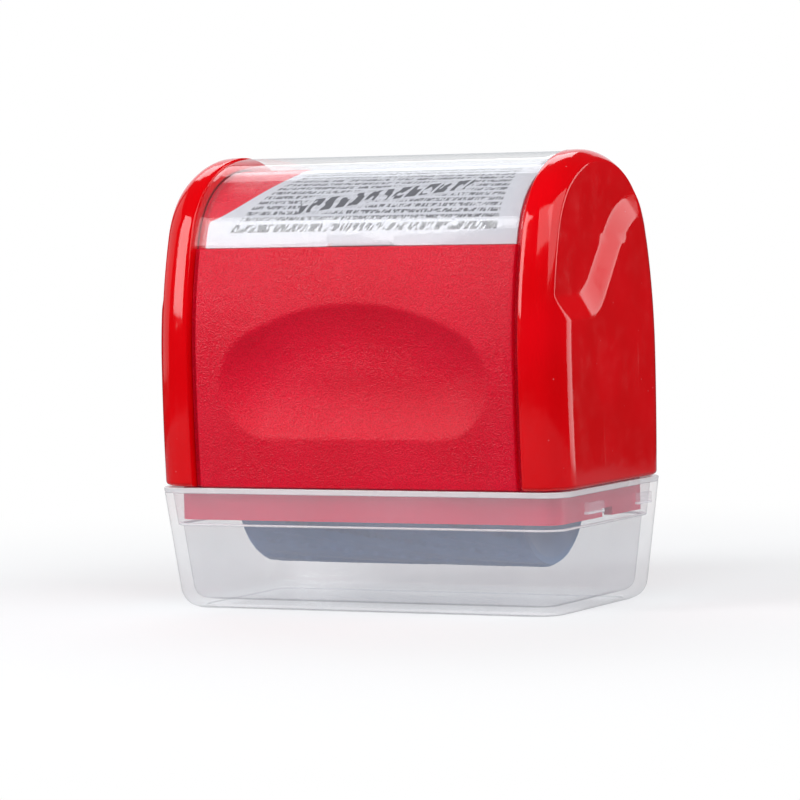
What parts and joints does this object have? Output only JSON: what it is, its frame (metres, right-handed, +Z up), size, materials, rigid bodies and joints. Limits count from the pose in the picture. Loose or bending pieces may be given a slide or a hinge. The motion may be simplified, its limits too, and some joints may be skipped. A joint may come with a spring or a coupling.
{
  "type": "self inking roller stamp",
  "caption": "Wide self-inking roller stamp with an arched red housing, clear label window, inner print and ink rollers, and a clear dust cap it stands in.",
  "frame": {"origin": "centre of the dust cap's underside, where the stamp stands", "axes": "+X along the rollers, -Y the front, +Z up through the label window"},
  "size_m": [0.075, 0.0432, 0.075],
  "materials": {
    "textured_red": "fine spark-eroded grain",
    "gloss_red": "polished moulded ABS",
    "clear_window": "clear polished styrene",
    "clear_cap": "slightly frosted clear moulding",
    "label_paper": "printed card",
    "white_acetal": "smooth acetal",
    "black_plastic": "satin",
    "zinc_steel": "zinc plated",
    "steel_rod": "ground steel",
    "printing_rubber": "ink-stained vulcanised rubber",
    "ink_felt": "ink-soaked felt"
  },
  "bodies": {
    "housing": {"housing_shell": "textured_red", "right_end_cover": "gloss_red", "left_end_cover": "gloss_red", "label_card": "label_paper", "roller_frame": "gloss_red", "right_bushing": "white_acetal", "left_bushing": "white_acetal", "spring_bridge": "black_plastic", "bridge_screws": "zinc_steel", "frame_screws": "zinc_steel", "right_spring": "steel_rod", "left_spring": "steel_rod"},
    "top_window": {"top_window": "clear_window"},
    "print_roller": {"roller_axle": "steel_rod", "roller_core": "black_plastic", "right_drum_flange": "black_plastic", "left_drum_flange": "black_plastic", "print_sleeve": "printing_rubber", "axle_washers": "white_acetal", "axle_clips": "steel_rod"},
    "ink_carriage": {"ink_carriage": "black_plastic"},
    "ink_roller": {"ink_core": "white_acetal", "ink_foam": "ink_felt"},
    "dust_cap": {"dust_cap": "clear_cap"}
  },
  "joints": [
    {"name": "print_roller_spin", "type": "hinge", "parent": "housing", "child": "print_roller", "pos_m": [0, 0, 0.0204], "axis": [1, 0, 0], "continuous": true},
    {"name": "ink_carriage_lift", "type": "slide", "parent": "housing", "child": "ink_carriage", "axis": [0, 0, 1], "range_m": [0, 0.0015], "stiffness_N_per_m": 600, "springref_m": -0.0025, "deforming": ["right_spring", "left_spring"]},
    {"name": "ink_roller_spin", "type": "hinge", "parent": "ink_carriage", "child": "ink_roller", "pos_m": [0, 0, 0.0421], "axis": [1, 0, 0], "continuous": true},
    {"name": "top_window_lift", "type": "slide", "parent": "housing", "child": "top_window", "axis": [0, 0, 1], "range_m": [0, 0.02]},
    {"name": "dust_cap_pull", "type": "slide", "parent": "housing", "child": "dust_cap", "axis": [0, 0, -1], "range_m": [0, 0.03]}
  ],
  "couplings": [
    {"joint": "ink_roller_spin", "follows": "print_roller_spin", "ratio": -1.8667}
  ]
}
